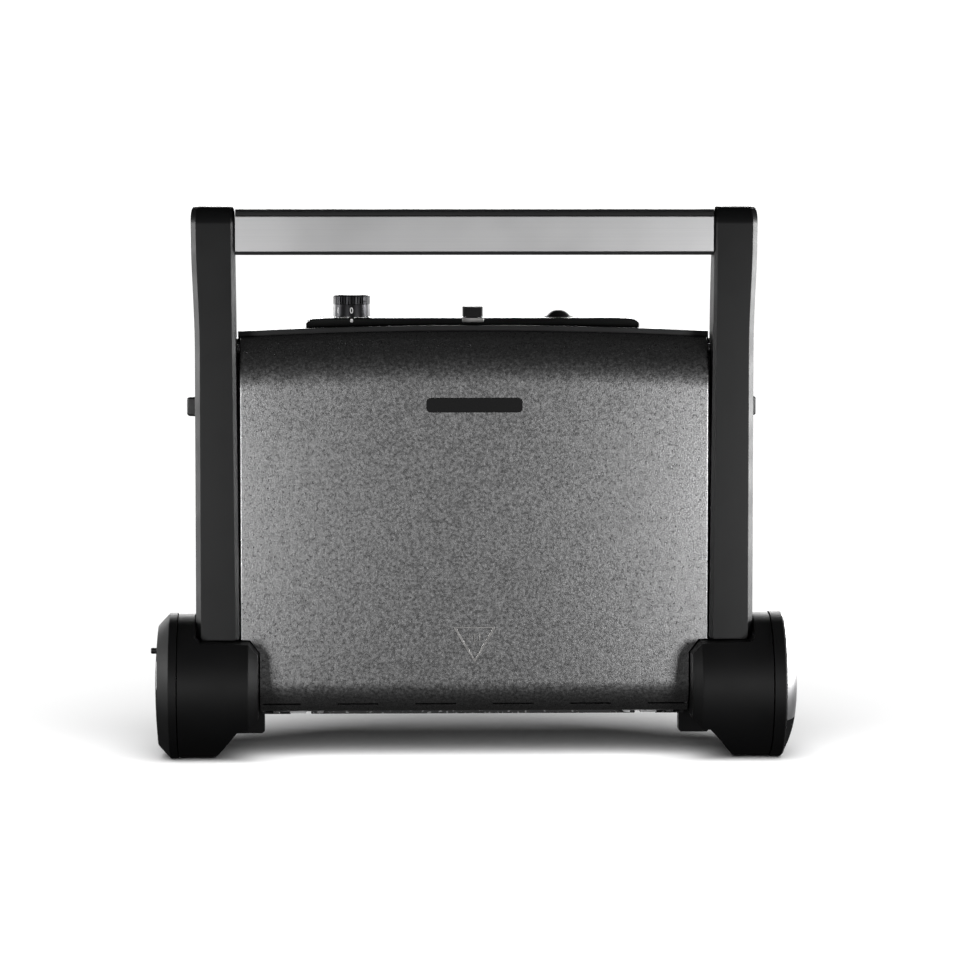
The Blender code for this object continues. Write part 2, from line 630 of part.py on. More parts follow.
def lid_section(x, inset, front_shift, back):
    """Lid profile in Y and Z at one station along X."""
    top = LID_TOP - LID_ARCH * (x / LID_HALF) ** 2 - inset
    rear = LID_REAR + inset
    front = LID_FRONT + inset + front_shift
    depth = LID_BACK - front
    points = [(back, top)] + arc((LID_BACK, top - LID_TOP_CURVE), (-depth, LID_TOP_CURVE), 90, 0, 9)
    points += arc((front + 16, rear + LID_REAR_CURVE), (-16, -LID_REAR_CURVE), 0, 90, 6)
    points += [(back, rear)]
    return [(x, y, z) for y, z in points]


def lid_body(name, inset, back):
    edge = [(0, 2.2), (0.7, 0.7), (2.2, 0), (8.0, 0)]
    stations = [(-LID_HALF + inset + step, shift) for step, shift in edge]
    stations += [(x, 0) for x in (-100, -50, 0, 50, 100)]
    stations += [(LID_HALF - inset - step, shift) for step, shift in reversed(edge)]
    return loft(name, [lid_section(x, inset, shift, back) for x, shift in stations])


def hub_notches(inset):
    """Cutters that keep the lid clear of both hubs and follow their outline from the front."""
    outline = [(HUB_NOTCH_X - inset, -60), (HUB_NOTCH_X - inset, 22.6), (147.6 - inset, 31.2 + inset),
               (170, HUB_NOTCH_Z + inset), (170, -60)]
    return [prism("notch", [(sign * x, z) for x, z in outline], -40, 60, "Y") for _, sign in SIDES]


def lid_cover():
    shell = lid_body("lid_cover", 0, LID_BACK + 0.05)
    hollow = lid_body("hollow", LID_WALL, LID_BACK + 2)
    cut(hollow, hub_notches(LID_WALL))
    cut(shell, hollow)
    cut(shell, hub_notches(0))
    slots = [block("vent", (x - 13.5, x + 13.5), (-20, -3), (-12.4, -10.8))
             for x in [sign * VENT_PITCH * (k + 0.5) for sign in (-1, 1) for k in range(3)]]
    pin_holes = [rod("pin_hole", PIVOT_R + 0.35, sign * 145, sign * 160, "X", (0, PIVOT_Y, PIVOT_Z), 20)
                 for _, sign in SIDES]
    cut(shell, slots + pin_holes)
    finish(shell, "lid", "lid_grey")


def lid_frame():
    """The dark frame behind the cover, showing as a thin rim above its arched top edge."""
    middle = LID_TOP + FRAME_RISE
    outline = [(-LID_HALF, HUB_NOTCH_Z), (-HUB_NOTCH_X, HUB_NOTCH_Z), (-HUB_NOTCH_X, LID_REAR),
               (HUB_NOTCH_X, LID_REAR), (HUB_NOTCH_X, HUB_NOTCH_Z), (LID_HALF, HUB_NOTCH_Z)]
    outline += [(FRAME_TOP_HALF * k / 5, middle - LID_ARCH * (k / 5) ** 2) for k in range(5, -6, -1)]
    frame = prism("lid_frame", outline, LID_BACK + 0.4, 20.4, "Y")
    cut(frame, block("well", (-145, 145), (0, 40), (HUB_NOTCH_Z + 3, 223)))
    cut(frame, block("rear_well", (-138, 138), (0, 40), (-12, HUB_NOTCH_Z + 5)))
    finish(frame, "lid", "satin_black")


def upper_plate():
    """The ribbed plate reaches down between the hubs, with a rim that holds it in the frame."""
    plate = ribbed_plate("upper_plate", MATING_Y, 10.0, (30, 228), 143.5, 1)
    rear_body = block("rear_body", (-137, 137), (MATING_Y - 10, MATING_Y - 2), (-11, 40))
    rim = block("rim", (-148, 148), (20.8, MATING_Y), (HUB_NOTCH_Z + 1, 226.5))
    rear_rim = block("rear_rim", (-140.5, 140.5), (20.8, MATING_Y), (-22, HUB_NOTCH_Z + 4))
    cut(rim, block("inside", (-141, 141), (22.5, 40), (HUB_NOTCH_Z - 4, 219)))
    cut(rear_rim, block("inside", (-134, 134), (22.5, 40), (-16, HUB_NOTCH_Z + 9)))
    cut(rear_rim, [block("clip_notch", (sign * 108, sign * 121.5), (10, 40), (-30, -19.6))
                   for _, sign in SIDES])
    join(plate, [rear_body, rim, rear_rim])
    finish(plate, "lid", "nonstick")


def plate_clips():
    for side, sign in SIDES:
        clip = block("plate_clip_" + side, (sign * 99.6, sign * 133.4), (13, 20.2), (-20.6, LID_REAR - GAP),
                     0.8, "Y")
        cut(clip, [block("gap", (sign * (x - 3.4), sign * (x + 3.4)), (0, 30), (-30, -19.4))
                   for x in (107.6, 125.4)])
        finish(clip, "lid", "steel")


def lid_marks():
    badge = block("badge", (-31.5, 31.5), (LID_FRONT - 0.9, LID_FRONT - GAP), (181, 190.6), 2.4, "Y")
    finish(badge, "lid", "gloss_black")
    mark = prism("hot_surface_mark", [(-14.2, 39.8), (0, 15.6), (14.2, 39.8)], LID_FRONT - 0.7,
                 LID_FRONT - GAP, "Y")
    cut(mark, prism("inside", [(-11.9, 38.4), (0, 18.2), (11.9, 38.4)], -20, 0, "Y"))
    finish(mark, "lid", "steel")


def main():
    clear_scene()
    make_empties()
    base_housing()
    bottom_cover()
    cover_screws()
    rubber_feet()
    lower_plate()
    element("lower_element", 39.5, (60, 185), "base")
    reflector("lower_reflector", 46.5, (46, 198), -10.5, "base")
    thermostat()
    control_panel()
    knob()
    power_button()
    storage_latch()
    plate_releases()
    drip_tray()
    cable_gland()
    hinges()
    arms()
    handle()
    lid_cover()
    lid_frame()
    upper_plate()
    plate_clips()
    lid_marks()
    element("upper_element", 8.5, (20, 190), "lid")
    reflector("upper_reflector", -2.0, (6, 205), 12.0, "lid")


main()
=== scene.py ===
"""Looks of the upright contact grill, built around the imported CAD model.

New pieces are modelled in millimetres in the hinge frame (origin on the hinge axis, lid towards -Y)
and moved to the row frame once they are finished.
"""
import json
import math

import bmesh
import bpy
from mathutils import Matrix, Vector


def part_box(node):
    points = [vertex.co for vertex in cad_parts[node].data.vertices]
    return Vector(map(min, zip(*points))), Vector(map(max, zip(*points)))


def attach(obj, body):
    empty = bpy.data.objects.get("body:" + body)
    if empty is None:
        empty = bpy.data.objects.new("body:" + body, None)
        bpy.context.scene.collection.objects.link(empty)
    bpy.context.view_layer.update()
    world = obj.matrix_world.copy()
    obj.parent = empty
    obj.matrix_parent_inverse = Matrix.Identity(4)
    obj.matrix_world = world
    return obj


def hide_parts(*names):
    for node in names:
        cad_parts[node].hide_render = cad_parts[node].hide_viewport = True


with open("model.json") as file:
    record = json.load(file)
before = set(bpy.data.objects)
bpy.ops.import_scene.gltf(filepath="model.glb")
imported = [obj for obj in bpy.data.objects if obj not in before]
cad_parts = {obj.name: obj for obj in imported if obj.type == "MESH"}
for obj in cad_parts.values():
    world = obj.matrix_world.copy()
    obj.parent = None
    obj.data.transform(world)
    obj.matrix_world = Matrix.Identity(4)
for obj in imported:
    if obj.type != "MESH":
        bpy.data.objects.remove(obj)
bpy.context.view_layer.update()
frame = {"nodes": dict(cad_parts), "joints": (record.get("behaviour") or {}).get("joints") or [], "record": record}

MM = 0.001
JOINTS = {joint["name"]: joint for joint in frame["joints"]}
HINGE = Vector(JOINTS["arm_hinge"]["pos_m"])
TO_ROW = Matrix.Translation(HINGE) @ Matrix.Scale(MM, 4)
SIDES = (("left", -1), ("right", 1))
BODY_OF = {node: body for body, nodes in frame["record"]["behaviour"]["bodies"].items() for node in nodes}
SLOT_OF = {part["node"]: part["material_slot"] for part in frame["record"]["subparts"]}


def span(node):
    """Lowest and highest corner of a CAD node in hinge-frame millimetres."""
    low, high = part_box(node)
    return (low - HINGE) / MM, (high - HINGE) / MM


def ranges(node):
    """The same box as one (lowest, highest) pair per axis."""
    return tuple(zip(*span(node)))


def linked(name, data):
    """A new object with this data, in the scene."""
    obj = bpy.data.objects.new(name, data)
    bpy.context.scene.collection.objects.link(obj)
    return obj


# ---------------------------------------------------------------- materials

class Shader:
    """A Principled material with a few shortcuts for procedural detail in object space."""

    def __init__(self, name, colour, roughness, metallic=0.0):
        self.material = bpy.data.materials.new(name)
        self.material.use_nodes = True
        self.nodes = self.material.node_tree.nodes
        self.links = self.material.node_tree.links
        self.shader = self.nodes["Principled BSDF"]
        self.colour = colour
        self.roughness = roughness
        self.shader.inputs["Base Color"].default_value = (*colour, 1.0)
        self.shader.inputs["Roughness"].default_value = roughness
        self.shader.inputs["Metallic"].default_value = metallic
        self.place = self.nodes.new("ShaderNodeTexCoord").outputs["Object"]
        self.height = None

    def stretched(self, scale):
        mapping = self.nodes.new("ShaderNodeMapping")
        mapping.inputs["Scale"].default_value = scale
        self.links.new(self.place, mapping.inputs["Vector"])
        return mapping.outputs["Vector"]

    def noise(self, scale, detail=2.0, stretch=None):
        node = self.nodes.new("ShaderNodeTexNoise")
        node.inputs["Scale"].default_value = scale
        node.inputs["Detail"].default_value = detail
        self.links.new(self.stretched(stretch) if stretch else self.place, node.inputs["Vector"])
        return node.outputs["Fac"]

    def spread(self, value, low, high, start=0.3, stop=0.7):
        """Map a texture value to a plain number range."""
        node = self.nodes.new("ShaderNodeMapRange")
        for name, number in (("From Min", start), ("From Max", stop), ("To Min", low), ("To Max", high)):
            node.inputs[name].default_value = number
        self.links.new(value, node.inputs["Value"])
        return node.outputs["Result"]

    def vary_roughness(self, value, amount):
        mapped = self.spread(value, self.roughness - amount, self.roughness + amount)
        self.links.new(mapped, self.shader.inputs["Roughness"])

    def vary_colour(self, value, other, start=0.3, stop=0.7):
        mix = self.nodes.new("ShaderNodeMix")
        mix.data_type = "RGBA"
        mix.inputs[6].default_value = (*self.colour, 1.0)
        mix.inputs[7].default_value = (*other, 1.0)
        self.links.new(self.spread(value, 0.0, 1.0, start, stop), mix.inputs[0])
        self.links.new(mix.outputs[2], self.shader.inputs["Base Color"])

    def bump(self, value, depth, strength=0.5):
        node = self.nodes.new("ShaderNodeBump")
        node.inputs["Strength"].default_value = strength
        node.inputs["Distance"].default_value = depth
        self.links.new(value, node.inputs["Height"])
        if self.height:
            self.links.new(self.height, node.inputs["Normal"])
        self.height = node.outputs["Normal"]
        self.links.new(self.height, self.shader.inputs["Normal"])

    def coat(self, weight, roughness):
        self.shader.inputs["Coat Weight"].default_value = weight
        self.shader.inputs["Coat Roughness"].default_value = roughness
        return self


def moulded_plastic(name, colour, roughness, specular=0.3):
    """Satin moulded plastic: fine spark-eroded grain, soft patches where hands and moulds polish it."""
    look = Shader(name, colour, roughness)
    look.shader.inputs["Specular IOR Level"].default_value = specular
    look.vary_colour(look.noise(9.0, 3.0), tuple(c * 1.35 for c in colour))
    look.vary_roughness(look.noise(38.0, 4.0), 0.05)
    look.bump(look.noise(1900.0, 1.0), 0.00006, 0.45)
    return look.material


def gloss_plastic(name, colour, roughness=0.10):
    look = Shader(name, colour, roughness)
    look.vary_roughness(look.noise(24.0, 5.0), 0.035)
    look.vary_colour(look.noise(6.0), tuple(c * 1.5 for c in colour))
    look.bump(look.noise(120.0, 1.0), 0.00002, 0.15)
    return look.coat(0.6, 0.05).material


def speckled_paint():
    """Metallic paint with a fine sandy grain about a millimetre across."""
    look = Shader("lid_speckled_paint", (0.280, 0.280, 0.282), 0.335, 0.97)
    grain = look.noise(1150.0, 2.0)
    look.vary_colour(grain, (0.48, 0.48, 0.483), 0.36, 0.66)
    look.vary_roughness(look.noise(520.0, 2.0), 0.07)
    look.bump(grain, 0.00014, 0.5)
    look.bump(look.noise(1700.0, 1.0), 0.00006, 0.4)
    return look.material


def brushed_metal(name, colour, roughness):
    """Metal with fine scratches along X."""
    look = Shader(name, colour, roughness, 1.0)
    lines = look.noise(3.0, 4.0, (1.5, 420.0, 420.0))
    look.vary_colour(lines, tuple(c * 0.95 for c in colour))
    look.vary_roughness(look.noise(14.0, 3.0), 0.05)
    look.bump(lines, 0.000015, 0.3)
    return look.material


def pressed_steel(name, colour, roughness):
    look = Shader(name, colour, roughness, 1.0)
    look.vary_colour(look.noise(55.0, 4.0), tuple(c * 0.8 for c in colour))
    look.vary_roughness(look.noise(160.0, 3.0), 0.07)
    look.bump(look.noise(700.0, 2.0), 0.00003, 0.3)
    return look.material


def smooth_metal(name, colour, roughness):
    """Plated or anodised metal without visible grain, a little cloudy from handling."""
    look = Shader(name, colour, roughness, 1.0)
    look.vary_colour(look.noise(18.0, 3.0), tuple(c * 0.93 for c in colour))
    look.vary_roughness(look.noise(45.0, 4.0), 0.03)
    look.bump(look.noise(300.0, 1.0), 0.000004, 0.1)
    return look.material


def nonstick_coating():
    """Dark cast aluminium coating with pale stone-like flecks."""
    look = Shader("nonstick_coating", (0.030, 0.030, 0.032), 0.46, 0.15)
    look.vary_colour(look.noise(620.0, 0.0), (0.30, 0.30, 0.30), 0.70, 0.76)
    look.vary_roughness(look.noise(60.0, 3.0), 0.07)
    look.bump(look.noise(900.0, 3.0), 0.00010, 0.5)
    return look.material


def soft_rubber():
    look = Shader("soft_rubber", (0.018, 0.018, 0.018), 0.82)
    look.vary_colour(look.noise(140.0, 4.0), (0.045, 0.044, 0.042))
    look.vary_roughness(look.noise(80.0), 0.06)
    look.bump(look.noise(2400.0, 2.0), 0.00005, 0.5)
    return look.material


def printed_ink():
    look = Shader("printed_ink", (0.97, 0.97, 0.96), 0.45)
    look.vary_colour(look.noise(900.0, 3.0), (0.85, 0.85, 0.84))
    look.bump(look.noise(1600.0), 0.00002, 0.3)
    return look.material


def fired_ceramic():
    look = Shader("fired_ceramic", (0.62, 0.58, 0.50), 0.7)
    look.vary_colour(look.noise(90.0, 5.0), (0.48, 0.44, 0.38))
    look.bump(look.noise(700.0, 4.0), 0.00008, 0.5)
    return look.material


LOOKS = {
    "body_black": moulded_plastic("satin_moulding", (0.0125, 0.0125, 0.0130), 0.40),
    "arm_black": moulded_plastic("arm_moulding", (0.0072, 0.0074, 0.0077), 0.40),
    "drum_black": moulded_plastic("drum_moulding", (0.0045, 0.0045, 0.0047), 0.52, 0.2),
    "gloss_black": gloss_plastic("gloss_moulding", (0.0045, 0.0045, 0.0048)),
    "rubber": soft_rubber(),
    "lid_metal": speckled_paint(),
    "aluminium_trim": brushed_metal("brushed_aluminium", (0.70, 0.70, 0.705), 0.46),
    "steel": pressed_steel("pressed_steel", (0.55, 0.55, 0.56), 0.26),
    "bright_steel": pressed_steel("bright_steel", (0.78, 0.78, 0.79), 0.30),
    "mark_grey": pressed_steel("mark_grey", (0.62, 0.61, 0.60), 0.36),
    "polished_cap": smooth_metal("satin_cap", (0.60, 0.60, 0.61), 0.30),
    "dark_chrome": smooth_metal("dark_chrome", (0.034, 0.034, 0.036), 0.34),
    "nonstick": nonstick_coating(),
    "marker_white": printed_ink(),
    "ceramic": fired_ceramic(),
    "grip_grey": moulded_plastic("grip_moulding", (0.030, 0.030, 0.031), 0.45),
    "panel_black": gloss_plastic("panel_moulding", (0.0045, 0.0048, 0.0046), 0.22),
}


# ---------------------------------------------------------------- mesh tools

def weld(mesh, distance):
    """Merge points that lie together and turn every face outwards."""
    work = bmesh.new()
    work.from_mesh(mesh)
    bmesh.ops.remove_doubles(work, verts=work.verts, dist=distance)
    bmesh.ops.recalc_face_normals(work, faces=work.faces)
    if work.calc_volume(signed=True) < 0:
        bmesh.ops.reverse_faces(work, faces=work.faces)
    work.to_mesh(mesh)
    work.free()


def solid(name, verts, faces):
    mesh = bpy.data.meshes.new(name)
    mesh.from_pydata([tuple(v) for v in verts], [], faces)
    weld(mesh, 1e-5)
    return linked(name, mesh)


def loft(name, rings):
    """Join rings with the same number of points and close both ends."""
    count = len(rings[0])
    verts = [point for ring in rings for point in ring]
    faces = [list(range(count)), [(len(rings) - 1) * count + i for i in range(count)]]
    for row in range(len(rings) - 1):
        a, b = row * count, (row + 1) * count
        faces += [[a + i, a + (i + 1) % count, b + (i + 1) % count, b + i] for i in range(count)]
    return solid(name, verts, faces)


def prism(name, outline, low, high, axis):
    """A flat outline drawn out along an axis."""
    def lift(point, height):
        values = list(point)
        values.insert("XYZ".index(axis), height)
        return values
    return loft(name, [[lift(p, h) for p in outline] for h in (low, high)])


def rounded(outline, radius, steps=5):
    """Replace each corner of a closed outline by an arc; radius is one number or one per corner."""
    radii = radius if isinstance(radius, (list, tuple)) else [radius] * len(outline)
    points = []
    for i, corner in enumerate(outline):
        here = Vector(corner)
        before, after = Vector(outline[i - 1]) - here, Vector(outline[(i + 1) % len(outline)]) - here
        turn = before.angle(after) / 2
        if radii[i] <= 0 or abs(turn - math.pi / 2) < 0.01:
            points.append(tuple(here))
            continue
        reach = min(radii[i] / math.tan(turn), before.length * 0.49, after.length * 0.49)
        start, stop = here + before.normalized() * reach, here + after.normalized() * reach
        for k in range(steps + 1):
            t = k / steps
            points.append(tuple(start * (1 - t) ** 2 + here * 2 * t * (1 - t) + stop * t ** 2))
    return points


def block(name, x, y, z, radius=0.0, axis="Z"):
    """A box between three pairs of limits, with its four edges along one axis rounded."""
    a, b = [sorted(pair) for pair in {"X": (y, z), "Y": (x, z), "Z": (x, y)}[axis]]
    low, high = sorted({"X": x, "Y": y, "Z": z}[axis])
    outline = [(a[0], b[0]), (a[1], b[0]), (a[1], b[1]), (a[0], b[1])]
    return prism(name, rounded(outline, radius) if radius else outline, low, high, axis)


def arc(centre, radii, start, stop, steps):
    angles = [math.radians(start + (stop - start) * i / steps) for i in range(steps + 1)]
    return [(centre[0] + radii[0] * math.cos(a), centre[1] + radii[1] * math.sin(a)) for a in angles]


def domed(edge, top, radius, steps, power):
    """An (along, radius) profile over a dome, from its rim to just before its tip."""
    return [(edge + (top - edge) * (1 - (k / steps) ** power), radius * k / steps)
            for k in range(steps, 0, -1)]


def lathe(name, profile, axis, centre=(0, 0, 0), segments=128, wave=None):
    """Turn an (along, radius) profile about an axis; wave(along, angle) changes the radius."""
    verts, rings = [], []
    for along, radius in profile:
        if radius <= 0:
            rings.append([len(verts)])
            verts.append((along, 0.0, 0.0))
            continue
        rings.append(list(range(len(verts), len(verts) + segments)))
        for i in range(segments):
            turn = 2 * math.pi * (i + 0.5) / segments
            reach = radius + (wave(along, turn) if wave else 0.0)
            verts.append((along, reach * math.cos(turn), reach * math.sin(turn)))
    closed = profile[0][1] > 0
    faces = []
    for row in range(len(rings) - (0 if closed else 1)):
        a, b = rings[row], rings[(row + 1) % len(rings)]
        for i in range(segments):
            j = (i + 1) % segments
            corners = [a[i % len(a)], a[j % len(a)], b[j % len(b)], b[i % len(b)]]
            faces.append(list(dict.fromkeys(corners)))
    order = {"X": (0, 1, 2), "Y": (1, 0, 2), "Z": (1, 2, 0)}[axis]
    return solid(name, [Vector([v[k] for k in order]) + Vector(centre) for v in verts], faces)


def rod(name, radius, low, high, axis, centre=(0, 0, 0), segments=48, edge=0.4):
    profile = [(low, 0), (low, radius - edge), (low + edge, radius), (high - edge, radius),
               (high, radius - edge), (high, 0)]
    return lathe(name, profile, axis, centre, segments)


def evaluated(obj):
    bpy.context.view_layer.update()
    return bpy.data.meshes.new_from_object(obj.evaluated_get(bpy.context.evaluated_depsgraph_get()))


def apply_modifiers(obj):
    result = evaluated(obj)
    obj.modifiers.clear()
    obj.data = result
    return obj


def combine(obj, others, operation):
    for other in others:
        modifier = obj.modifiers.new(operation.lower(), "BOOLEAN")
        modifier.operation = operation
        modifier.solver = "EXACT"
        modifier.object = other
        apply_modifiers(obj)
        bpy.data.objects.remove(other, do_unlink=True)
    return obj


def cut(obj, *others):
    return combine(obj, others, "DIFFERENCE")


def join(obj, *others):
    return combine(obj, others, "UNION")


def soften(obj, width, angle=35, segments=2):
    """Round the edges sharper than an angle."""
    bevel = obj.modifiers.new("soft_edges", "BEVEL")
    bevel.width = width
    bevel.segments = segments
    bevel.limit_method = "ANGLE"
    bevel.angle_limit = math.radians(angle)
    bevel.use_clamp_overlap = True
    bevel.miter_outer = "MITER_ARC"
    return apply_modifiers(obj)


def place(obj, body, look, replaces=()):
    """Move a finished piece to the row frame, dress it and hang it on its body."""
    obj.data.transform(TO_ROW)
    obj.data.shade_smooth()
    obj.data.set_sharp_from_angle(angle=math.radians(28))
    flatten = obj.modifiers.new("flat_faces_stay_flat", "WEIGHTED_NORMAL")
    flatten.keep_sharp = True
    apply_modifiers(obj)
    obj.data.materials.clear()
    obj.data.materials.append(LOOKS[look])
    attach(obj, body)
    if replaces:
        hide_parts(*replaces)
    return obj


def refined(node, width, look=None):
    """The CAD node's own shape, welded, with its edges rounded."""
    mesh = frame["nodes"][node].data.copy()
    mesh.transform(TO_ROW.inverted())
    weld(mesh, 1e-3)
    obj = soften(linked(node + "_moulding", mesh), width)
    return place(obj, BODY_OF[node], look or SLOT_OF[node], [node])


# ---------------------------------------------------------------- lid

# Height of the curve into the top, and height and depth of the curve into the lower edge
LID_TOP_CURVE = 34.0
LID_REAR_CURVE = 21.0
LID_REAR_DEPTH = 16.0
# Drop of the top edge from the middle to the sides
LID_ARCH = 3.8
LID_WALL = 1.6
LID_EDGE = 1.0
# Outline in X and Z of the room left for a hub
HUB_NOTCH = [(141.2, -60), (141.2, 22.6), (147.6, 31.2), (170, 32.5), (170, -60)]
THROUGH = (-60, 60)
VENT_PITCH = 51.2
VENT_HALF = 13.5
VENT_Y = (-20, -3)
VENT_Z = (-12.3, -11.2)
BADGE_ROUND = 3.2
MARK_INNER = 0.845
MARK_RIB_PITCH = 3.3
MARK_RIB_HALF = 0.45


def lid_section(x, low, high, inset, shift, back):
    """The lid's profile in Y and Z at one station along X."""
    top = high.z - LID_ARCH * (x / high.x) ** 2 - inset
    rear = low.z + inset
    front = low.y + inset + shift
    depth = high.y - front
    points = [(back, top)] + arc((high.y, top - LID_TOP_CURVE), (-depth, LID_TOP_CURVE), 90, 0, 22)
    points += [(front, rear + (top - rear) * k / 12) for k in range(10, 1, -1)]
    centre = (front + LID_REAR_DEPTH, rear + LID_REAR_CURVE)
    points += arc(centre, (-LID_REAR_DEPTH, -LID_REAR_CURVE), 0, 90, 12)
    return [(x, y, z) for y, z in points + [(back, rear)]]


def lid_solid(name, low, high, inset, back):
    """Stations close together round the side edges, wide apart across the face."""
    edge = [(LID_EDGE * (1 - math.cos(math.radians(a))), LID_EDGE * (1 - math.sin(math.radians(a))))
            for a in range(0, 91, 15)]
    edge += [(LID_EDGE + 0.6, 0), (LID_EDGE + 3, 0)]
    half = high.x - inset
    stations = [(-half + step, shift) for step, shift in edge]
    stations += [(x, 0) for x in range(-130, 131, 20)]
    stations += [(half - step, shift) for step, shift in reversed(edge)]
    return loft(name, [lid_section(x, low, high, inset, shift, back) for x, shift in stations])


def hub_notches(inset):
    """Cutters along the hubs' outline as seen from the front, which is closest at its chamfer."""
    outline = [(x - (inset if x < 160 else 0), z + (inset if 0 < z else 0)) for x, z in HUB_NOTCH]
    return [prism("notch", [(sign * x, z) for x, z in outline], *THROUGH, "Y") for _, sign in SIDES]


def lid_cover():
    low, high = span("lid_cover")
    shell = lid_solid("lid_shell", low, high, 0, high.y)
    hollow = lid_solid("hollow", low, high, LID_WALL, high.y + 2)
    cut(hollow, *hub_notches(LID_WALL))
    cut(shell, hollow, *hub_notches(0))
    for x in [sign * VENT_PITCH * (k + 0.5) for sign in (-1, 1) for k in range(3)]:
        cut(shell, block("vent", (x - VENT_HALF, x + VENT_HALF), VENT_Y, VENT_Z, 0.5, "Y"))
    soften(shell, 0.35, 40)
    place(shell, "lid", "lid_metal", replaces=["lid_cover"])


def lid_trims():
    refined("lid_frame", 0.7, "body_black")
    refined("upper_plate", 0.45)
    for side, _ in SIDES:
        refined("plate_clip_" + side, 0.25, "bright_steel")
    badge = block("badge_plate", *ranges("badge"), BADGE_ROUND, "Y")
    place(soften(badge, 0.2, 40), "lid", "drum_black", ["badge"])


def hot_surface_mark():
    """A plain triangle standing on its point, with three straight ribs inside."""
    low, high = span("hot_surface_mark")
    corners = [(low.x, high.z), (0.0, low.z), (high.x, high.z)]
    inner = [(MARK_INNER * x, MARK_INNER * (z - high.z * 0.9) + high.z * 0.892) for x, z in corners]
    mark = prism("raised_triangle", rounded(corners, 1.2), low.y, high.y, "Y")
    cut(mark, prism("inside", rounded(inner, 0.8), low.y - 5, high.y + 5, "Y"))
    place(soften(mark, 0.1, 40), "lid", "mark_grey", ["hot_surface_mark"])
    for k in (-1, 0, 1):
        centre = k * MARK_RIB_PITCH
        rib = block("triangle_rib", (centre - MARK_RIB_HALF, centre + MARK_RIB_HALF), (low.y, high.y),
                    (high.z - 11.5 + abs(k) * 1.8, high.z - 4.6), 0.4, "Y")
        place(rib, "lid", "mark_grey")


# ---------------------------------------------------------------- arms and handle

# Corner cuts of an arm: inner front, outer front, outer back, inner back
ARM_CUTS = (2.4, 3.4, 2.0, 2.0)
ARM_BOTTOM = 31.8
# Inner and outer side, each at the bottom and at the top
ARM_INNER = (154.5, 157.0)
ARM_OUTER = (183.0, 185.4)
# Heights between which the outer side flares, and between which the arm is deeper
ARM_BEND = (222.0, 302.0)
ARM_SWELL = (160.0, 285.0)
ARM_SWELL_STEPS = 12
ARM_BACK = 8.0
ARM_TOP_R = 13.0
ARM_TOP_STEPS = 14
ARM_END_CUT = 3.2
ARM_FOOT_CUT = 1.2
PIVOT_AT = (0, 6.0, 222.0)
PIVOT_R = 3.8
GRIP_ROUND = 5.0
TRIM_GAP = 0.3


def arm_ring(sign, z, inner, outer, front, back, shrink):
    """One level of an arm: a rectangle with its corners cut."""
    c0, c1, c2, c3 = ARM_CUTS
    inner, outer = inner + shrink * 0.5, outer - shrink
    points = [(inner + c0, front), (outer - c1, front), (outer, front + c1), (outer, back - c2),
              (outer - c2, back), (inner + c3, back), (inner, back - c3), (inner, front + c0)]
    return [(sign * x, y, z) for x, y in points]


def arm(side, sign):
    """A long box, deeper where it carries the lid, flaring towards its rolled top."""
    low, high = span("arm_" + side)
    top, front, deep = high.z, low.y, high.y
    rings = []

    def add(z, front_pull=0.0, back=ARM_BACK, shrink=0.0):
        rise = (z - ARM_BOTTOM) / (top - ARM_BOTTOM)
        bend = min(1.0, max(0.0, (z - ARM_BEND[0]) / (ARM_BEND[1] - ARM_BEND[0])))
        flare = bend * bend * (3 - 2 * bend)
        inner = ARM_INNER[0] + (ARM_INNER[1] - ARM_INNER[0]) * rise
        outer = ARM_OUTER[0] + (ARM_OUTER[1] - ARM_OUTER[0]) * flare
        rings.append(arm_ring(sign, z, inner, outer, front + front_pull, back, shrink))

    add(ARM_BOTTOM, shrink=ARM_FOOT_CUT)
    add(ARM_BOTTOM + ARM_FOOT_CUT)
    for k in range(ARM_SWELL_STEPS + 1):
        along = k / ARM_SWELL_STEPS
        swell = min(1.0, math.sin(math.pi * along) ** 0.7 * 1.15)
        add(ARM_SWELL[0] + (ARM_SWELL[1] - ARM_SWELL[0]) * along, back=ARM_BACK + (deep - ARM_BACK) * swell)
    for k in range(1, ARM_TOP_STEPS + 1):
        along = k / ARM_TOP_STEPS
        turn = math.radians(90 * along)
        pull = ARM_TOP_R * (1 - math.cos(turn))
        add(top - ARM_TOP_R * (1 - math.sin(turn)), pull, ARM_BACK - pull * 0.8, ARM_END_CUT * along ** 3.5)
    body = loft("arm_moulding_" + side, rings)
    cut(body, rod("pivot_hole", PIVOT_R, sign * 150, sign * 163, "X", PIVOT_AT, 32, 0.0))
    soften(body, 0.55, 22)
    place(body, "arms", "arm_black", ["arm_" + side])


def handle():
    """A dark core with a brushed strip let into its front."""
    low, high = span("handle_core")
    core = block("handle_grip", *ranges("handle_core"), GRIP_ROUND, "X")
    trim_low, trim_high = span("handle_trim")
    seat = block("seat", (low.x - 2, high.x + 2), (low.y - 9, trim_high.y + TRIM_GAP),
                 (trim_low.z - TRIM_GAP, trim_high.z + TRIM_GAP))
    soften(cut(core, seat), 0.3, 40)
    place(core, "arms", "grip_grey", ["handle_core"])
    front, back = trim_low.y, trim_high.y
    bottom, top = trim_low.z, trim_high.z
    outline = rounded([(back, bottom), (front, bottom), (front, top), (back, top)], [0, 0.6, 2.6, 0], 8)
    strip = prism("handle_strip", outline, trim_low.x, trim_high.x, "X")
    place(strip, "arms", "aluminium_trim", replaces=["handle_trim"])


# ---------------------------------------------------------------- hinge drums

TURNING_R = 47.3
SEAM_X = 194.7
SEAM_GAP = 0.65
# Half section of a turning drum, as (X, radius)
DRUM_HALF = [(142.3, 0), (142.3, 41.0), (148.5, TURNING_R), (SEAM_X, TURNING_R), (SEAM_X, 6.6),
             (145.5, 6.6), (145.5, 0)]
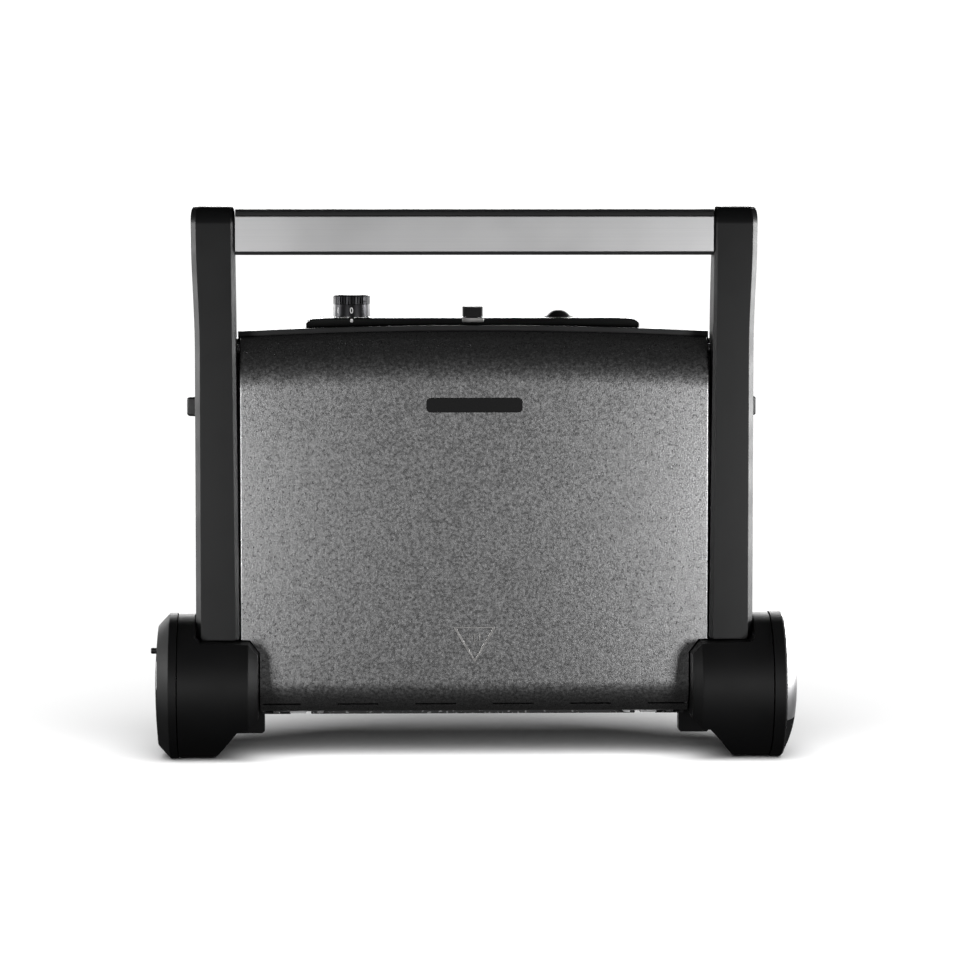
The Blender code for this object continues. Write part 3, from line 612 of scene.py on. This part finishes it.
# What is cut away above and below it, as an outline in X and Z with its corner radii
DRUM_CUTS = (
    ([(140.0, 20.3), (148.5, 30.4), (180.6, 31.5), (183.9, 34.8), (183.9, 60.0), (140.0, 60.0)],
     [0, 1.2, 0.6, 1.0, 0, 0]),
    ([(140.0, -16.7), (148.5, -25.3), (155.2, -26.0), (172.0, -48.2), (172.0, -60.0), (140.0, -60.0)],
     [0, 1.6, 0.8, 0, 0, 0]),
)
RIM_R = 48.0
BORE_R = 6.4
# Outer side of each fixed disc, as (X, radius) from its rim to its bore
END_RIMS = {
    "left": [(200.4, RIM_R), (208.2, 39.6), (208.2, 37.4), (206.2, 37.4), (206.2, BORE_R)],
    "right": [(202.7, RIM_R), (203.4, 47.0), (203.4, 46.6), (201.4, 46.6), (201.4, BORE_R)],
}
PIN_AT = (0, 0, 23.0)
LEFT_CAP_EDGE = 208.5
LEFT_CAP_R = 36.9
RIGHT_CAP_EDGE = 203.7
RIGHT_CAP_R = 46.1
# Height of the line between the metal and the dark part of the right cap
CAP_SPLIT = -19.6


def turning_drum(side, sign):
    """A round drum with a chamfered inner end, a flat for its arm and a slope underneath."""
    profile = rounded(DRUM_HALF, [0, 1.0, 1.6, 0.25, 0, 0, 0], 4)
    drum = lathe("drum_moulding_" + side, [(sign * x, r) for x, r in profile], "X", segments=144)
    for outline, radii in DRUM_CUTS:
        soft = rounded(outline, radii, 3)
        cut(drum, prism("cutter", [(sign * x, z) for x, z in soft], *THROUGH, "Y"))
    soften(drum, 0.5, 40, 3)
    place(drum, "arms", "drum_black", ["hinge_drum_" + side])


def end_housing(side, sign):
    """The fixed disc: a ring outside the seam, closed by its cap, with a bracket to the base."""
    start, web, floor_z = SEAM_X + SEAM_GAP, END_RIMS[side][-1][0], -HINGE.z / MM
    outline = [(start, RIM_R)] + END_RIMS[side]
    outline += [(start + 2, BORE_R), (start + 2, 12), (web - 3, 12), (web - 3, 34), (web - 4.5, 45),
                (start, 45)]
    radii = [0.25, 1.2, 0.7] + [0] * (len(outline) - 3)
    profile = [(sign * x, r) for x, r in rounded(outline, radii, 4)]
    ring = lathe("end_ring_" + side, profile, "X", segments=144)
    bracket = block("bracket", (sign * (start + 0.6), sign * (web - 0.6)), (43, 61), (-29, 29), 3.0, "X")
    join(ring, bracket)
    cut(ring, block("floor", (sign * 190, sign * 215), (-30, 30), (-60, floor_z)))
    if side == "left":
        cut(ring, rod("pin_hole", 2.4, -209, -200, "X", PIN_AT, 24, 0.0))
    soften(ring, 0.3, 50)
    place(ring, "base", "drum_black", ["hinge_housing_" + side])


def left_cap():
    """A shallow glossy cap with a hole for the release pin."""
    low, _ = span("end_cap_left")
    top = -low.x
    profile = [(206.5, 0), (206.5, LEFT_CAP_R), (LEFT_CAP_EDGE - 0.5, LEFT_CAP_R)]
    profile += domed(LEFT_CAP_EDGE, top, LEFT_CAP_R - 0.5, 16, 2) + [(top, 0)]
    cap = lathe("cap_left_lens", [(-x, r) for x, r in profile], "X", segments=144)
    cut(cap, rod("pin_hole", 2.3, -220, -200, "X", PIN_AT, 24, 0.0))
    place(cap, "base", "gloss_black", replaces=["end_cap_left"])
    low, high = span("hinge_release_pin")
    pin = rod("release_pin_tip", 2.0, low.x, high.x, "X", PIN_AT, 32, 0.5)
    place(pin, "hinge_pin", "body_black", replaces=["hinge_release_pin"])


def right_cap():
    """A full dome in two parts: satin metal above, gloss black below, behind a thin steel ring that is a painted
    highlight standing in for light caught on the housing rim's chamfer.
    """
    _, high = span("end_cap_right")
    top, edge = high.x, RIGHT_CAP_EDGE
    profile = [(201.8, 0), (201.8, RIGHT_CAP_R), (edge - 0.3, RIGHT_CAP_R)]
    profile += domed(edge, top, RIGHT_CAP_R, 24, 2.8) + [(top, 0)]
    parts = (("cap_right_metal", "polished_cap", (CAP_SPLIT + 0.12, 80)),
             ("cap_right_dark", "gloss_black", (-80, CAP_SPLIT - 0.12)))
    for name, look, keep in parts:
        dome = lathe(name, profile, "X", segments=192)
        combine(dome, [block("part", (190, 230), (-80, 80), keep)], "INTERSECT")
        soften(dome, 0.25, 50)
        place(dome, "base", look, ["end_cap_right"])
    # Painted highlight: a thin bright steel ring set where the black housing rim's chamfer catches light.
    section = [(edge - 0.6, 46.3), (edge, 46.3), (edge, 47.0), (edge - 0.6, 47.2)]
    place(lathe("cap_right_highlight_ring", rounded(section, 0.12, 2), "X"), "base", "steel")


# ---------------------------------------------------------------- base and controls

KNOB_AT = (-80.5, 42.0)
KNOB_RIBS = 38
KNOB_RIB_DEPTH = 0.9
KNOB_BAND_R = 12.2
DIAL_STEP = 48.0
FIGURE_SIZE = 5.6
FIGURE_R = 12.25
INK = 0.06
BUTTON_AT = (57.5, 42.0)
BUTTON_R = 8.35
BUTTON_HEIGHT = 6.1
# Corners of the panel's ends: how far in from the end, and how far below the top
PANEL_SHOULDER = [(0, 3.5), (3.6, 0.7), (14, 0)]
PANEL_WALL = 3.0
PANEL_INSIDE_Z = (220, 237)
PANEL_HOLES_Z = (230, 250)


def control_panel():
    low, high = span("control_panel")
    corners = [(low.x, low.z), (high.x, low.z)]
    corners += [(high.x - step, high.z - drop) for step, drop in PANEL_SHOULDER]
    corners += [(low.x + step, high.z - drop) for step, drop in reversed(PANEL_SHOULDER)]
    outline = rounded(corners, [0, 0, 4, 5, 30, 30, 5, 4], 6)
    panel = prism("panel_moulding", outline, low.y, high.y, "Y")
    soften(panel, 1.1, 40, 4)
    cut(panel, block("inside", (low.x + PANEL_WALL, high.x - PANEL_WALL), (low.y + 2.5, high.y - 2.5),
                     PANEL_INSIDE_Z),
        rod("shaft_hole", 3.7, *PANEL_HOLES_Z, "Z", (*KNOB_AT, 0), 32, 0.0),
        rod("button_hole", 3.6, *PANEL_HOLES_Z, "Z", (*BUTTON_AT, 0), 32, 0.0),
        rod("button_recess", 8.9, high.z - 2.2, 250, "Z", (*BUTTON_AT, 0), 48, 0.0),
        block("latch_slot", (-3.4, 3.4), (29.6, 38.4), PANEL_HOLES_Z, 0.8))
    place(panel, "base", "panel_black", ["control_panel"])


def knob():
    """A dial with a finely ribbed top band and printed figures on the smooth skirt."""
    low, high = span("temperature_knob")
    base, top = low.z, high.z
    band_low, band_high = top - 6.2, top - 1.1

    def ribs(along, turn):
        inside = band_low <= along <= band_high
        return -KNOB_RIB_DEPTH * max(0.0, -math.cos(KNOB_RIBS * turn)) ** 0.5 if inside else 0.0

    skirt = [(base, 0), (base, 12.35), (band_low - 0.5, 11.95), (band_low - 0.05, 11.75)]
    band = [(band_low, KNOB_BAND_R), (band_high, KNOB_BAND_R), (band_high + 0.05, 11.9)]
    crown = [(top - 0.35, 11.6), (top, 10.9), (top - 0.25, 9.2), (top - 0.5, 0)]
    dial = lathe("dial", skirt + band + crown, "Z", (*KNOB_AT, 0), KNOB_RIBS * 10, ribs)
    cut(dial, rod("bore", 3.2, base - 1, base + 9, "Z", (*KNOB_AT, 0), 32, 0.0))
    place(dial, "knob", "dark_chrome", ["temperature_knob"])
    for number in range(6):
        figure(str(number), -90.0 - DIAL_STEP * number, base + 2.4)


def figure(text, degrees, z):
    """One printed figure, bent round the dial's skirt."""
    curve = bpy.data.curves.new("figure", "FONT")
    curve.body = text
    curve.size = FIGURE_SIZE
    curve.align_x = "CENTER"
    curve.extrude = 0.05
    curve.offset = INK
    label = linked("dial_figure_" + text, curve)
    mesh = evaluated(label)
    bpy.data.objects.remove(label, do_unlink=True)
    for vert in mesh.vertices:
        turn = math.radians(degrees) + vert.co.x * 0.82 / FIGURE_R
        reach = FIGURE_R + INK + vert.co.z - (vert.co.y + 2.6) * 0.03
        x = KNOB_AT[0] + reach * math.cos(turn)
        y = KNOB_AT[1] + reach * math.sin(turn)
        vert.co = Vector((x, y, z + vert.co.y))
    place(linked("dial_figure_" + text, mesh), "knob", "marker_white")


def power_button():
    """A low dome on a stem, with a fixed collar on the panel round its rim."""
    low, high = span("power_button")
    skirt, tip = high.z - BUTTON_HEIGHT, high.z - 1.0
    stem = [(low.z, 0), (low.z, 2.9), (skirt, 2.9), (skirt, BUTTON_R - 0.3)]
    profile = stem + domed(skirt + 0.4, tip, BUTTON_R, 16, 2.6) + [(tip, 0)]
    button = lathe("button_dome", profile, "Z", (*BUTTON_AT, 0), 96)
    place(button, "button", "drum_black", ["power_button"])
    foot, inner = skirt - 2.4, BUTTON_R + 0.25
    section = [(foot, inner), (skirt + 1.1, inner), (skirt + 0.9, BUTTON_R + 0.8),
               (skirt - 0.2, BUTTON_R + 2.0), (foot, BUTTON_R + 2.0)]
    collar = lathe("button_collar", rounded(section, 0.1, 2), "Z", (*BUTTON_AT, 0), 96)
    place(collar, "base", "drum_black")


def small_controls():
    refined("storage_latch", 0.5, "drum_black")
    refined("latch_strip", 0.2, "mark_grey")
    x, y, z = ranges("dial_marker")
    marker = block("dial_pointer", (x[0] + 0.5, x[1] - 0.5), y, z, 0.9, "Y")
    place(soften(marker, 0.12, 40), "base", "marker_white", replaces=["dial_marker"])
    for side, _ in SIDES:
        refined("plate_release_" + side, 0.6)


def middle(low, high):
    """Centre of a piece that is turned about Y."""
    return ((low.x + high.x) / 2, 0, (low.z + high.z) / 2)


def rubber_foot(node):
    low, high = span(node)
    profile = [(low.y, 0), (low.y, 9.0), (high.y - 1.4, 8.5), (high.y - 0.4, 8.1), (high.y, 7.3),
               (high.y, 4.5), (high.y - 0.8, 4.0), (high.y - 0.8, 0)]
    pad = lathe(node + "_pad", profile, "Y", middle(low, high), 64)
    place(pad, "base", "rubber", replaces=[node])


def pan_screw(node):
    """A pan head with a cross slot."""
    low, high = span(node)
    centre = middle(low, high)
    head = high.y - 1.4
    profile = [(low.y, 0), (low.y, 1.5), (low.y + 1, 1.9), (head, 1.9), (head, 4.0), (head + 0.5, 4.0),
               (high.y - 0.3, 3.3), (high.y, 2.2), (high.y, 0)]
    screw = lathe(node + "_pan", profile, "Y", centre, 48)
    for wide, tall in ((2.3, 0.45), (0.45, 2.3)):
        cut(screw, block("cross", (centre[0] - wide, centre[0] + wide), (high.y - 1.0, high.y + 2),
                         (centre[2] - tall, centre[2] + tall)))
    place(screw, "base", "steel", replaces=[node])


def feet_and_screws():
    for row in ("front", "rear"):
        for side, _ in SIDES:
            rubber_foot("foot_%s_%s" % (row, side))
    for number in range(1, 5):
        pan_screw("cover_screw_%d" % number)


def base():
    refined("base_housing", 0.6)
    refined("bottom_cover", 0.5)
    refined("lower_plate", 0.45)
    refined("drip_tray", 0.5)
    for side, _ in SIDES:
        refined("stand_foot_" + side, 0.8)
    for node in ("lower_reflector", "upper_reflector"):
        refined(node, 0.15)
    for node in ("thermostat", "power_switch"):
        refined(node, 0.4)


def dress_cad_nodes():
    """CAD nodes that are still shown keep their shape and take the finish of their slot."""
    for name, obj in frame["nodes"].items():
        if obj.hide_render:
            continue
        obj.data.materials.clear()
        obj.data.materials.append(LOOKS[SLOT_OF[name]])


# ---------------------------------------------------------------- studio

# Camera in the hinge frame: where it stands, its turn and tilt, and its focal length
CAMERA_AT = Vector((-81.3, -2822.7, 339.5))
CAMERA_YAW = -1.73
CAMERA_PITCH = -4.13
CAMERA_LENS = 160.9
FLOOR_LIGHT = 5.7
FLOOR_LIGHT_TILT = 46.0
FLOOR_SOFTNESS = 68.0
# Brightness of the world as the camera sees it, and as it lights the object
SEEN_BACKDROP = 1.2
AMBIENT = 0.016
# Softboxes: place, target, size and power
SOFTBOXES = {
    "left_front": ((-0.49, -0.85, 0.10), (-0.15, 0, 0.20), (0.22, 0.22), 3.35),
    "right_front": ((0.53, -0.85, 0.10), (0.15, 0, 0.20), (0.22, 0.22), 4.2),
    "low_front": ((0.0, -3.00, 0.05), (0, 0, 0.22), (1.60, 0.30), 0.1),
    "right_side": ((1.50, 0.08, 0.26), (0.2, 0, 0.20), (0.50, 0.60), 32.0),
    "left_side": ((-1.50, 0.08, 0.26), (-0.2, 0, 0.20), (0.50, 0.60), 12.0),
    "right_back": ((1.30, 1.40, 0.22), (0, 0, 0.15), (1.20, 0.60), 13.0),
    "left_back": ((-1.30, 1.40, 0.22), (0, 0, 0.15), (1.20, 0.60), 14.0),
    "back_fill": ((0.0, 2.40, 0.90), (0, 0, 0.20), (2.00, 0.80), 60.0),
}


def camera():
    data = bpy.data.cameras.new("camera")
    data.lens = CAMERA_LENS
    data.sensor_width = 36.0
    data.clip_end = 60.0
    obj = linked("camera", data)
    obj.location = HINGE + CAMERA_AT * MM
    obj.rotation_euler = (math.radians(90 + CAMERA_PITCH), 0, math.radians(CAMERA_YAW))
    bpy.context.scene.camera = obj


def floor():
    bpy.ops.mesh.primitive_plane_add(size=40, location=(0, 0, -0.0002))
    ground = bpy.context.object
    ground.name = "floor"
    look = Shader("pale_floor", (0.92, 0.92, 0.92), 0.9)
    look.vary_colour(look.noise(3.0, 3.0), (0.90, 0.90, 0.90))
    ground.data.materials.append(look.material)
    ground.visible_glossy = False
    ground.visible_diffuse = False
    return ground


def link_floor(light, ground, state):
    """Let a light reach the floor alone, or everything but the floor."""
    group = bpy.data.collections.new(light.name + "_receivers")
    group.objects.link(ground)
    group.collection_objects[0].light_linking.link_state = state
    light.light_linking.receiver_collection = group


def softbox(name, place_at, target, size, power, ground):
    data = bpy.data.lights.new(name, "AREA")
    data.shape = "RECTANGLE"
    data.size, data.size_y = size
    data.energy = power
    light = linked(name, data)
    light.location = place_at
    light.rotation_euler = (Vector(target) - Vector(place_at)).to_track_quat("-Z", "Y").to_euler()
    light.visible_camera = False
    link_floor(light, ground, "EXCLUDE")


def overhead(ground):
    """An even light from above the camera that falls on the floor alone, with a soft shadow."""
    data = bpy.data.lights.new("overhead", "SUN")
    data.energy = FLOOR_LIGHT
    data.angle = math.radians(FLOOR_SOFTNESS)
    light = linked("overhead", data)
    light.rotation_euler = (math.radians(FLOOR_LIGHT_TILT), 0, 0)
    link_floor(light, ground, "INCLUDE")


def backdrop():
    """A world that is bright for the camera and nearly dark for everything else."""
    world = bpy.data.worlds.new("studio")
    world.use_nodes = True
    nodes, links = world.node_tree.nodes, world.node_tree.links
    path = nodes.new("ShaderNodeLightPath")
    level = nodes.new("ShaderNodeMapRange")
    level.inputs["To Min"].default_value = AMBIENT
    level.inputs["To Max"].default_value = SEEN_BACKDROP
    links.new(path.outputs["Is Camera Ray"], level.inputs["Value"])
    links.new(level.outputs["Result"], nodes["Background"].inputs["Strength"])
    nodes["Background"].inputs["Color"].default_value = (1, 1, 1, 1)
    bpy.context.scene.world = world


def studio():
    ground = floor()
    overhead(ground)
    for name, settings in SOFTBOXES.items():
        softbox(name, *settings, ground)
    backdrop()
    bpy.context.scene.view_settings.view_transform = "Standard"


camera()
lid_cover()
lid_trims()
hot_surface_mark()
for side_name, side_sign in SIDES:
    arm(side_name, side_sign)
    turning_drum(side_name, side_sign)
    end_housing(side_name, side_sign)
handle()
left_cap()
right_cap()
control_panel()
knob()
power_button()
small_controls()
base()
feet_and_screws()
dress_cad_nodes()
studio()
